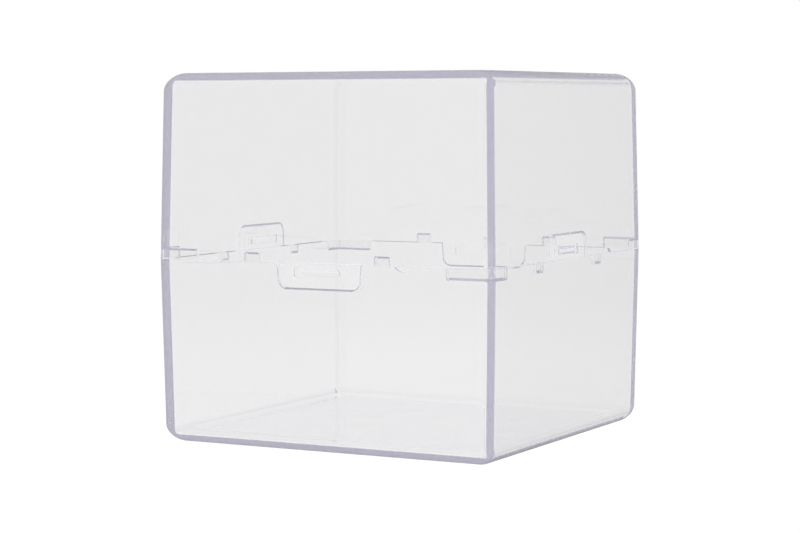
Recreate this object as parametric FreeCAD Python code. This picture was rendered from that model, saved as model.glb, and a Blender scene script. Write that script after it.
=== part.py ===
import FreeCAD, Part
import math
import os

os.makedirs("parts", exist_ok=True)

# A square box in clear plastic, made of two shallow tubs that meet rim to rim at half height. Each tub has
# two latch tongues and six short lugs, all flush with the outside, that lie in shallow pockets of the other
# tub. Everything is in millimetres, +Z up, with the middle of the underside at the origin.

# Overall size
SIDE = 76.0            # outside width and depth at the parting line
HEIGHT = 76.0          # underside of the base to the top of the lid
HALF_HEIGHT = HEIGHT / 2
RIM_GAP = 0.2          # air between the two rims when the box is shut

# Walls
WALL = 2.0             # side wall thickness
FLOOR = 2.0            # thickness of the floor and of the lid's top
DRAFT_DEG = 1.05       # lean of each side wall, widest at the rim
CORNER_R = 1.7         # outside radius of the upright corners
END_R = 3.8            # outside radius where the walls meet the floor
INNER_CORNER_R = 0.4   # inside radius of the upright corners
INNER_END_R = 0.6      # inside radius where the walls meet the floor

# Side faces, as a turn in degrees about the upright axis
RIGHT = 0
BACK = 90
LEFT = 180
FRONT = 270

# Middle of the latch and of the pair of lugs along each face, seen from outside, left is negative
LATCH_OFFSET = {FRONT: 0.1, BACK: 0.1, LEFT: -1.8, RIGHT: -1.8}
LUG_OFFSET = {FRONT: -0.5, BACK: -0.5, LEFT: -1.1, RIGHT: -1.1}

# Latch tongues
LATCH_ROOT_W = 19.2    # width at the rim
LATCH_TIP_W = 18.3     # width at the tip
LATCH_H = 5.25         # how far a tongue stands past the rim
LATCH_T = 0.8          # thickness
LATCH_TIP_R = 2.1      # radius of the two tip corners
LATCH_BEVEL = 0.35     # bevel round the tongue's inner side
LATCH_PLAY = 0.12      # air round a tongue in its pocket

# Snap beads on the inner side of the tongues, and the blind grooves they sit in
BEAD_Z = 1.8           # height of the bead's middle past the rim
BEAD_R = 1.3           # radius of the bead's round back
BEAD_PROUD = 0.25      # how far the bead stands off the tongue
BEAD_STRAIGHT = 7.6    # length between the round ends
BEAD_ROOT = 0.2        # how far the bead runs into the tongue
GROOVE_W = 12.0
GROOVE_LOW = 0.75      # height of the groove's near edge past the rim
GROOVE_HIGH = 2.85     # height of the groove's far edge past the rim
GROOVE_DEPTH = 0.25    # how far the groove goes below the floor of the pocket
GROOVE_R = 0.6         # radius of the groove's corners

# Square lugs either side of a latch
LUG_SPACING = 29.6     # middle to middle
LUG_W = 3.3
LUG_H = 1.9

# L-shaped corner lugs
CORNER_LUG_LONG = 9.7   # leg on the front and back faces
CORNER_LUG_SHORT = 6.8  # leg on the left and right faces
CORNER_LUG_H = 2.2

# Shared by square and corner lugs
LUG_T = 1.0            # thickness
LUG_R = 0.55           # radius of the free corners
LUG_BEVEL = 0.45       # bevel round the lug's inner side
LUG_PLAY = 0.12        # air round a lug in its pocket
BACK_PLAY = 0.15       # air behind a tongue or lug in its pocket
ROOT = 1.0             # how far a lug runs down into its own rim

# Half-moon notches in the outer rim, where the moulding gates were trimmed
GATE_U = 19.0          # middle of the notch along its face
GATE_W = 3.8
GATE_H = 1.0
GATE_DEPTH = 0.7

SLOPE = math.tan(math.radians(DRAFT_DEG))
FAR = 10.0             # overshoot of a cutting tool past the walls
CLOSE = 1e-3           # two places nearer than this are the same
UP = FreeCAD.Vector(0, 0, 1)
CENTRE = FreeCAD.Vector(0, 0, 0)


def tub_block(half_width, depth, corner_r, end_r):
    """A drafted block with its open face at z = 0, its upright and bottom edges rounded."""
    low_half = half_width - depth * SLOPE
    corners = [
        FreeCAD.Vector(-low_half, -half_width, -depth),
        FreeCAD.Vector(low_half, -half_width, -depth),
        FreeCAD.Vector(half_width, -half_width, 0),
        FreeCAD.Vector(-half_width, -half_width, 0),
    ]
    wedge = Part.Face(Part.makePolygon(corners + corners[:1])).extrude(FreeCAD.Vector(0, 2 * half_width, 0))
    crossed = wedge.copy()
    crossed.rotate(CENTRE, UP, BACK)
    sharp = wedge.common(crossed).Solids[0]
    doc = FreeCAD.newDocument("rounding")
    source = doc.addObject("Part::Feature", "source")
    source.Shape = sharp
    rounded = doc.addObject("Part::Fillet", "rounded")
    rounded.Base = source
    radii = []
    for number, edge in enumerate(sharp.Edges, start=1):
        if edge.BoundBox.ZLength > depth / 2:
            radii.append((number, corner_r, corner_r))
        elif edge.BoundBox.ZMax < -depth / 2:
            radii.append((number, end_r, end_r))
    rounded.Edges = radii
    doc.recompute()
    block = rounded.Shape.Solids[0].copy()
    FreeCAD.closeDocument(doc.Name)
    return block


def rounded_outline(points):
    """A closed wire through (u, z, radius) corners, standing in the plane n = 0."""
    places = [FreeCAD.Vector(0, u, z) for u, z, radius in points]
    edges = []
    ends = []
    for i, (u, z, radius) in enumerate(points):
        here = places[i]
        if radius == 0:
            ends.append((here, here))
            continue
        back = (places[i - 1] - here).normalize()
        ahead = (places[(i + 1) % len(places)] - here).normalize()
        half_angle = back.getAngle(ahead) / 2
        reach = radius / math.tan(half_angle)
        start = here + back * reach
        finish = here + ahead * reach
        centre = here + (back + ahead).normalize() * (radius / math.sin(half_angle))
        middle = centre + (here - centre).normalize() * radius
        edges.append(Part.Arc(start, middle, finish).toShape())
        ends.append((start, finish))
    for i, (start, finish) in enumerate(ends):
        following = ends[(i + 1) % len(ends)][0]
        edges.append(Part.makeLine(finish, following))
    return Part.Wire(Part.__sortEdges__(edges))


def face_prism(points, n_near, n_far):
    """A rounded outline extruded outwards from n_near to n_far, on the right face."""
    outline = Part.Face(rounded_outline(points))
    outline.translate(FreeCAD.Vector(n_near, 0, 0))
    return outline.extrude(FreeCAD.Vector(n_far - n_near, 0, 0))


def outer_layer(depth):
    """The outer layer of the right wall above the parting plane, down to a depth, leaning with the wall."""
    half = SIDE / 2
    low = -ROOT - FAR
    high = LATCH_H + FAR
    corners = [
        FreeCAD.Vector(half - depth - low * SLOPE, -SIDE, low),
        FreeCAD.Vector(half + FAR, -SIDE, low),
        FreeCAD.Vector(half + FAR, -SIDE, high),
        FreeCAD.Vector(half - depth - high * SLOPE, -SIDE, high),
    ]
    side = Part.Face(Part.makePolygon(corners + corners[:1]))
    return side.extrude(FreeCAD.Vector(0, 2 * SIDE, 0))


def flush_tab(points, depth, bevel, face):
    """A tab that fills the outer layer of a side wall within an outline, bevelled round its inner side."""
    tab = face_prism(points, SIDE / 2 - FAR / 2, SIDE / 2 + FAR / 2).common(outer_layer(depth)).Solids[0]
    root_z = min(z for u, z, radius in points)
    rim_edges = []
    for edge in tab.Edges:
        ends = [vertex.Point for vertex in edge.Vertexes]
        inner = all(abs(p.x - (SIDE / 2 - depth - p.z * SLOPE)) < CLOSE for p in ends)
        at_root = all(abs(p.z - root_z) < CLOSE for p in ends)
        outside = all(abs(p.y) > SIDE / 2 for p in ends)
        if inner and not at_root and not outside:
            rim_edges.append(edge)
    tab = tab.makeChamfer(bevel, rim_edges)
    tab.rotate(CENTRE, UP, face)
    return tab


def latch_outline(face, play, root_z):
    middle = LATCH_OFFSET[face]
    half_root = LATCH_ROOT_W / 2 + play
    half_tip = LATCH_TIP_W / 2 + play
    tip_z = LATCH_H + play
    tip_r = LATCH_TIP_R + play
    return [
        (middle - half_root, root_z, 0),
        (middle + half_root, root_z, 0),
        (middle + half_tip, tip_z, tip_r),
        (middle - half_tip, tip_z, tip_r),
    ]


def square_lugs(face, play, low):
    """The pair of lugs on a face, grown by the play for the pockets that take them."""
    half_w = LUG_W / 2 + play
    high = LUG_H + play
    tabs = []
    for side in (-1, 1):
        middle = LUG_OFFSET[face] + side * LUG_SPACING / 2
        outline = [
            (middle - half_w, low, 0),
            (middle + half_w, low, 0),
            (middle + half_w, high, LUG_R),
            (middle - half_w, high, LUG_R),
        ]
        tabs.append(flush_tab(outline, LUG_T + min(play, BACK_PLAY), LUG_BEVEL, face))
    return tabs


def corner_lug(x_side, y_side, play, low):
    """The two legs of a corner lug, on the faces either side of a corner."""
    outer = SIDE / 2 + FAR
    high = CORNER_LUG_H + play
    legs = (
        (FRONT if y_side < 0 else BACK, CORNER_LUG_LONG, x_side * -y_side),
        (LEFT if x_side < 0 else RIGHT, CORNER_LUG_SHORT, y_side * x_side),
    )
    tabs = []
    for face, leg, side in legs:
        inner = SIDE / 2 - leg - play
        outline = [(outer, low, 0), (outer, high, 0), (inner, high, LUG_R), (inner, low, 0)]
        outline = [(side * u, z, radius) for u, z, radius in outline]
        tabs.append(flush_tab(outline, LUG_T + min(play, BACK_PLAY), LUG_BEVEL, face))
    return tabs


def bead(face):
    """The snap bead of one tongue: a round-ended rib lying along the tongue's inner side."""
    inner_n = SIDE / 2 - LATCH_T - BEAD_Z * SLOPE
    centre_n = inner_n - BEAD_PROUD + BEAD_R
    start = FreeCAD.Vector(centre_n, LATCH_OFFSET[face] - BEAD_STRAIGHT / 2, BEAD_Z)
    rib = Part.makeCylinder(BEAD_R, BEAD_STRAIGHT, start, FreeCAD.Vector(0, 1, 0))
    for end in (-1, 1):
        tip = FreeCAD.Vector(centre_n, LATCH_OFFSET[face] + end * BEAD_STRAIGHT / 2, BEAD_Z)
        rib = rib.fuse(Part.makeSphere(BEAD_R, tip))
    keep = Part.makeBox(
        BEAD_R * 2, SIDE, BEAD_R * 2,
        FreeCAD.Vector(inner_n + BEAD_ROOT - BEAD_R * 2, -SIDE / 2, BEAD_Z - BEAD_R),
    )
    rib = rib.removeSplitter().common(keep)
    rib.rotate(CENTRE, UP, face)
    return rib


def groove(face):
    """Cutter for the blind groove in the floor of a latch pocket, which the bead snaps into."""
    left = LATCH_OFFSET[face] - GROOVE_W / 2
    right = LATCH_OFFSET[face] + GROOVE_W / 2
    outline = [
        (left, GROOVE_LOW, GROOVE_R),
        (right, GROOVE_LOW, GROOVE_R),
        (right, GROOVE_HIGH, GROOVE_R),
        (left, GROOVE_HIGH, GROOVE_R),
    ]
    depth = LATCH_T + BACK_PLAY + GROOVE_DEPTH
    slot = face_prism(outline, SIDE / 2 - FAR / 2, SIDE / 2 + FAR / 2).common(outer_layer(depth))
    slot.rotate(CENTRE, UP, face)
    return slot


def gate_notch(face):
    """A round cutter that bites a half moon out of the rim's outer edge."""
    radius = ((GATE_W / 2) ** 2 + GATE_H ** 2) / (2 * GATE_H)
    start = FreeCAD.Vector(SIDE / 2 - GATE_DEPTH, GATE_U, radius - GATE_H - RIM_GAP / 2)
    cutter = Part.makeCylinder(radius, FAR, start, FreeCAD.Vector(1, 0, 0))
    cutter.rotate(CENTRE, UP, face)
    return cutter


def mirrored(shape):
    return shape.mirror(CENTRE, UP)


def tongue(face):
    """One latch tongue with its bead, flush with the wall it lies in."""
    outline = latch_outline(face, 0.0, -RIM_GAP / 2)
    blade = flush_tab(outline, LATCH_T, LATCH_BEVEL, face).common(FULL_WALLS)
    return blade.fuse(bead(face)).removeSplitter()


def shell(lug_faces, lug_corners, gate_face, mate_latch_faces, mate_lug_faces, mate_corners):
    """One tub without its tongues, rim upwards, with the pockets that take the other tub's tabs."""
    above_rim = Part.makeBox(
        SIDE + FAR, SIDE + FAR, FAR, FreeCAD.Vector(-(SIDE + FAR) / 2, -(SIDE + FAR) / 2, -RIM_GAP / 2)
    )
    cutters = [above_rim, gate_notch(gate_face)]
    tabs = []
    for face in mate_latch_faces:
        outline = latch_outline(face, LATCH_PLAY, -RIM_GAP)
        tabs.append(flush_tab(outline, LATCH_T + BACK_PLAY, LATCH_BEVEL, face))
        tabs.append(groove(face))
    for face in mate_lug_faces:
        tabs += square_lugs(face, LUG_PLAY, -RIM_GAP)
    for x_side, y_side in mate_corners:
        tabs += corner_lug(x_side, y_side, LUG_PLAY, -RIM_GAP)
    cutters += [mirrored(tab) for tab in tabs]
    body = SOLID_WALLS
    for cutter in cutters:
        body = body.cut(cutter)

    lugs = []
    for face in lug_faces:
        lugs += square_lugs(face, 0.0, -ROOT)
    for x_side, y_side in lug_corners:
        lugs += corner_lug(x_side, y_side, 0.0, -ROOT)
    for lug in lugs:
        body = body.fuse(lug.common(FULL_WALLS))
    return body.removeSplitter()


def place(shape, upside_down):
    """Set a rim-up shape in the assembled box, turned over if it belongs to the lid."""
    placed = mirrored(shape) if upside_down else shape.copy()
    placed.translate(UP * HALF_HEIGHT)
    return placed


SOLID_WALLS = tub_block(SIDE / 2, HALF_HEIGHT, CORNER_R, END_R).cut(
    tub_block(SIDE / 2 - WALL, HALF_HEIGHT - FLOOR, INNER_CORNER_R, INNER_END_R)
)
FULL_WALLS = SOLID_WALLS.fuse(mirrored(SOLID_WALLS))

BASE_CORNERS = [(-1, -1), (1, 1)]
LID_CORNERS = [(1, -1), (-1, 1)]

base = shell([FRONT, BACK], BASE_CORNERS, FRONT, [FRONT, BACK], [LEFT, RIGHT], LID_CORNERS)
lid = shell([LEFT, RIGHT], LID_CORNERS, RIGHT, [LEFT, RIGHT], [FRONT, BACK], BASE_CORNERS)

nodes = {
    "base_shell": place(base, False),
    "right_latch_tongue": place(tongue(RIGHT), False),
    "left_latch_tongue": place(tongue(LEFT), False),
    "lid_shell": place(lid, True),
    "front_latch_tongue": place(tongue(FRONT), True),
    "back_latch_tongue": place(tongue(BACK), True),
}
for name, shape in nodes.items():
    shape.Solids[0].exportStep("parts/" + name + ".step")
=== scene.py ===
import math

import bpy
from mathutils import Matrix, Vector


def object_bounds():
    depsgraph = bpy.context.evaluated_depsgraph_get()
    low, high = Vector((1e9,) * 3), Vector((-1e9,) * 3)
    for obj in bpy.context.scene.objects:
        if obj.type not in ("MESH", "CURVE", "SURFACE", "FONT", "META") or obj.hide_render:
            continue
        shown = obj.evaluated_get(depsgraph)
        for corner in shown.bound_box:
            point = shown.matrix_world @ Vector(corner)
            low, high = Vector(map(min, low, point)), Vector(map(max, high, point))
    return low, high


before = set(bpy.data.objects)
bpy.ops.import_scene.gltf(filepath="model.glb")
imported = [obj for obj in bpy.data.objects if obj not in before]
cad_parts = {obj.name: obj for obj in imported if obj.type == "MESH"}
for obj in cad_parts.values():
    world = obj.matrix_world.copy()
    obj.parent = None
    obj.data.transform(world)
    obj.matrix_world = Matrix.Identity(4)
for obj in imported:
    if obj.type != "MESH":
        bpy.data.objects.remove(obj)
cad_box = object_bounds()

# The camera stands in front of the box, towards its right side and a little above its middle. It aims
# slightly past the box, and the shift of its lens brings the box back into the picture.
BOX_MIDDLE = (Vector(cad_box[0]) + Vector(cad_box[1])) / 2
CAMERA_DISTANCE = 0.480
CAMERA_AZIMUTH = math.radians(27.504)
CAMERA_ELEVATION = math.radians(3.723)
AIM_AZIMUTH = math.radians(28.685)
AIM_ELEVATION = math.radians(3.169)
AIM_ROLL = math.radians(-0.153)
SENSOR_MM = 36.0
LENS_MM = 101.71
SHIFT_X = 0.0496
SHIFT_Y = -0.0442
CLIP_START = 0.01
CLIP_END = 50.0

# The white room, as it is seen directly and as it is mirrored in the box. The mirrored room's strength runs
# from the camera's side to the far side between two cosines of the angle from the camera's direction.
WHITE_STRENGTH = 1.0
MIRRORED_NEAR = 0.20
MIRRORED_FAR = 0.32
NEAR_COSINE = 0.7
FAR_COSINE = -0.7

# The table just under the box, with a brighter pool of light round the box's middle
FLOOR_RADIUS = 6.0
FLOOR_DROP = 0.0003
FLOOR_SIDES = 96
POOL_STRENGTH = 1.05
POOL_INNER = 0.08
POOL_OUTER = 0.40

# Clear polystyrene. Light that runs along inside the walls fades this much a metre, and the plastic gives
# off a painted violet-grey glow inside that this light turns to; each polished face that it meets on the
# way adds a little of that painted glow.
PLASTIC_IOR = 1.59
LOSS_PER_M = 35.0
HAZE_PAINTED_GLOW = (0.455, 0.443, 0.53)
FACE_PAINTED_GLOW = 0.018
SHELL_TINT = (0.945, 0.943, 0.938)
# The latch tongues are the same polystyrene as the shells, with a lighter tint: painted light that offsets
# the darkening where light crosses more faces there
TONGUE_TINT_PAINTED_LIGHTER = (0.99, 0.99, 0.985)

# Unevenness of the moulded faces, and the scuffs of handling
FLOW_PER_M = 70.0
FLOW_STRENGTH = 0.10
FLOW_HEIGHT = 0.0002
FLOW_DETAIL = 1.0
SCUFF_PER_M = (90.0, 90.0, 900.0)
SCUFF_TURN = (0.5, 0.7, 0.0)
SCUFF_START = 0.66
SCUFF_FULL = 0.74
SCUFF_ROUGHNESS = 0.06
SCUFF_DETAIL = 3.0

# Light that runs along inside a wall is turned back by its faces many times before it comes out
GUIDED_BOUNCES = 160


def direction(azimuth, elevation):
    """The unit vector from the box towards a viewer at this azimuth and elevation."""
    flat = math.cos(elevation)
    return Vector((math.sin(azimuth) * flat, -math.cos(azimuth) * flat, math.sin(elevation)))


def add_camera():
    data = bpy.data.cameras.new("camera")
    data.sensor_width = SENSOR_MM
    data.lens = LENS_MM
    data.shift_x = SHIFT_X
    data.shift_y = SHIFT_Y
    data.clip_start = CLIP_START
    data.clip_end = CLIP_END
    camera = bpy.data.objects.new("camera", data)
    bpy.context.scene.collection.objects.link(camera)
    back = direction(AIM_AZIMUTH, AIM_ELEVATION)
    level_right = Vector((math.cos(AIM_AZIMUTH), math.sin(AIM_AZIMUTH), 0.0))
    level_up = back.cross(level_right)
    right = level_right * math.cos(AIM_ROLL) + level_up * math.sin(AIM_ROLL)
    up = back.cross(right)
    place = BOX_MIDDLE + direction(CAMERA_AZIMUTH, CAMERA_ELEVATION) * CAMERA_DISTANCE
    turn = Matrix((right, up, back)).transposed().to_4x4()
    camera.matrix_world = Matrix.Translation(place) @ turn
    bpy.context.scene.camera = camera


def seen_light(nodes, links, outward, seen):
    """A light strength that is `seen` directly and through the plastic, and is dimmer when it is mirrored.

    The mirrored strength runs smoothly from the camera's side of the room to the far side. `outward` points
    from the box to the place that gives the light."""
    unit = nodes.new("ShaderNodeVectorMath")
    unit.operation = "NORMALIZE"
    links.new(outward, unit.inputs[0])
    nearness = nodes.new("ShaderNodeVectorMath")
    nearness.operation = "DOT_PRODUCT"
    nearness.inputs[1].default_value = direction(CAMERA_AZIMUTH, 0.0)
    links.new(unit.outputs["Vector"], nearness.inputs[0])
    ramp = nodes.new("ShaderNodeMapRange")
    ramp.interpolation_type = "SMOOTHSTEP"
    ramp.inputs["From Min"].default_value = FAR_COSINE
    ramp.inputs["From Max"].default_value = NEAR_COSINE
    ramp.inputs["To Min"].default_value = MIRRORED_FAR
    ramp.inputs["To Max"].default_value = MIRRORED_NEAR
    links.new(nearness.outputs["Value"], ramp.inputs["Value"])
    path = nodes.new("ShaderNodeLightPath")
    mix = nodes.new("ShaderNodeMix")
    mix.data_type = "FLOAT"
    links.new(path.outputs["Is Reflection Ray"], mix.inputs["Factor"])
    links.new(seen, mix.inputs["A"])
    links.new(ramp.outputs["Result"], mix.inputs["B"])
    return mix.outputs["Result"]


def add_world():
    """A plain white studio all round."""
    world = bpy.data.worlds.new("studio")
    bpy.context.scene.world = world
    world.use_nodes = True
    nodes = world.node_tree.nodes
    links = world.node_tree.links
    nodes.clear()
    output = nodes.new("ShaderNodeOutputWorld")
    background = nodes.new("ShaderNodeBackground")
    background.inputs["Color"].default_value = (1.0, 1.0, 1.0, 1.0)
    sky = nodes.new("ShaderNodeTexCoord")
    white = nodes.new("ShaderNodeValue")
    white.outputs["Value"].default_value = WHITE_STRENGTH
    strength = seen_light(nodes, links, sky.outputs["Generated"], white.outputs["Value"])
    links.new(strength, background.inputs["Strength"])
    links.new(background.outputs["Background"], output.inputs["Surface"])


def add_floor():
    """A white table, lit a little more strongly close to the box."""
    bpy.ops.mesh.primitive_circle_add(
        vertices=FLOOR_SIDES, radius=FLOOR_RADIUS, fill_type="NGON", location=(0.0, 0.0, -FLOOR_DROP)
    )
    floor = bpy.context.object
    floor.name = "floor"
    material = bpy.data.materials.new("white_floor")
    material.use_nodes = True
    nodes = material.node_tree.nodes
    links = material.node_tree.links
    nodes.clear()
    output = nodes.new("ShaderNodeOutputMaterial")
    glow = nodes.new("ShaderNodeEmission")
    geometry = nodes.new("ShaderNodeNewGeometry")
    distance = nodes.new("ShaderNodeVectorMath")
    distance.operation = "LENGTH"
    links.new(geometry.outputs["Position"], distance.inputs[0])
    pool = nodes.new("ShaderNodeMapRange")
    pool.interpolation_type = "SMOOTHSTEP"
    pool.inputs["From Min"].default_value = POOL_INNER
    pool.inputs["From Max"].default_value = POOL_OUTER
    pool.inputs["To Min"].default_value = POOL_STRENGTH
    pool.inputs["To Max"].default_value = WHITE_STRENGTH
    links.new(distance.outputs["Value"], pool.inputs["Value"])
    strength = seen_light(nodes, links, geometry.outputs["Position"], pool.outputs["Result"])
    links.new(strength, glow.inputs["Strength"])
    links.new(glow.outputs["Emission"], output.inputs["Surface"])
    floor.data.materials.append(material)


def add_flow_bump(nodes, links, plastic):
    """The faint unevenness that flowing plastic leaves on a moulded face."""
    place = nodes.new("ShaderNodeNewGeometry")
    waves = nodes.new("ShaderNodeTexNoise")
    waves.inputs["Scale"].default_value = FLOW_PER_M
    waves.inputs["Detail"].default_value = FLOW_DETAIL
    links.new(place.outputs["Position"], waves.inputs["Vector"])
    bump = nodes.new("ShaderNodeBump")
    bump.inputs["Strength"].default_value = FLOW_STRENGTH
    bump.inputs["Distance"].default_value = FLOW_HEIGHT
    links.new(waves.outputs["Fac"], bump.inputs["Height"])
    links.new(bump.outputs["Normal"], plastic.inputs["Normal"])


def add_scuffs(nodes, links, plastic):
    """Thin streaks that handling has left a little rough on the polished faces."""
    place = nodes.new("ShaderNodeNewGeometry")
    stretch = nodes.new("ShaderNodeMapping")
    stretch.inputs["Scale"].default_value = SCUFF_PER_M
    stretch.inputs["Rotation"].default_value = SCUFF_TURN
    links.new(place.outputs["Position"], stretch.inputs["Vector"])
    streaks = nodes.new("ShaderNodeTexNoise")
    streaks.inputs["Scale"].default_value = 1.0
    streaks.inputs["Detail"].default_value = SCUFF_DETAIL
    links.new(stretch.outputs["Vector"], streaks.inputs["Vector"])
    thin = nodes.new("ShaderNodeMapRange")
    thin.interpolation_type = "SMOOTHSTEP"
    thin.inputs["From Min"].default_value = SCUFF_START
    thin.inputs["From Max"].default_value = SCUFF_FULL
    thin.inputs["To Min"].default_value = 0.0
    thin.inputs["To Max"].default_value = SCUFF_ROUGHNESS
    links.new(streaks.outputs["Fac"], thin.inputs["Value"])
    links.new(thin.outputs["Result"], plastic.inputs["Roughness"])


def clear_plastic(name, tint):
    """Clear moulded plastic. Light takes the tint as it crosses a wall, and the painted violet-grey glow as
    it runs along one.
    """
    material = bpy.data.materials.new(name)
    material.use_nodes = True
    nodes = material.node_tree.nodes
    links = material.node_tree.links
    plastic = nodes["Principled BSDF"]
    plastic.inputs["Base Color"].default_value = (*tint, 1.0)
    plastic.inputs["IOR"].default_value = PLASTIC_IOR
    plastic.inputs["Transmission Weight"].default_value = 1.0
    # Painted glow: every face gives off a little violet-grey light of its own
    plastic.inputs["Emission Color"].default_value = (*HAZE_PAINTED_GLOW, 1.0)
    plastic.inputs["Emission Strength"].default_value = FACE_PAINTED_GLOW
    add_flow_bump(nodes, links, plastic)
    add_scuffs(nodes, links, plastic)
    loss = nodes.new("ShaderNodeVolumeAbsorption")
    loss.inputs["Color"].default_value = (0.0, 0.0, 0.0, 1.0)
    loss.inputs["Density"].default_value = LOSS_PER_M
    # Painted glow: the plastic gives off violet-grey light inside, so long paths along a wall come out that
    # colour
    glow = nodes.new("ShaderNodeEmission")
    glow.inputs["Color"].default_value = (*HAZE_PAINTED_GLOW, 1.0)
    glow.inputs["Strength"].default_value = LOSS_PER_M
    inside = nodes.new("ShaderNodeAddShader")
    links.new(loss.outputs["Volume"], inside.inputs[0])
    links.new(glow.outputs["Emission"], inside.inputs[1])
    links.new(inside.outputs["Shader"], nodes["Material Output"].inputs["Volume"])
    return material


def set_material(node, material):
    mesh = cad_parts[node].data
    mesh.materials.clear()
    mesh.materials.append(material)


add_camera()
add_world()
add_floor()

shell_plastic = clear_plastic("clear_polystyrene", SHELL_TINT)
# The same plastic painted lighter for the latch tongues
tongue_plastic_painted_lighter = clear_plastic("clear_polystyrene_latch_painted_lighter", TONGUE_TINT_PAINTED_LIGHTER)
for node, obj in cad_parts.items():
    set_material(node, shell_plastic if node.endswith("shell") else tongue_plastic_painted_lighter)
    # The studio's light reaches every face as if no clear wall stood in its way
    obj.visible_shadow = False

scene = bpy.context.scene
scene.view_settings.view_transform = "Standard"
scene.cycles.max_bounces = GUIDED_BOUNCES
scene.cycles.transmission_bounces = GUIDED_BOUNCES
scene.cycles.glossy_bounces = GUIDED_BOUNCES
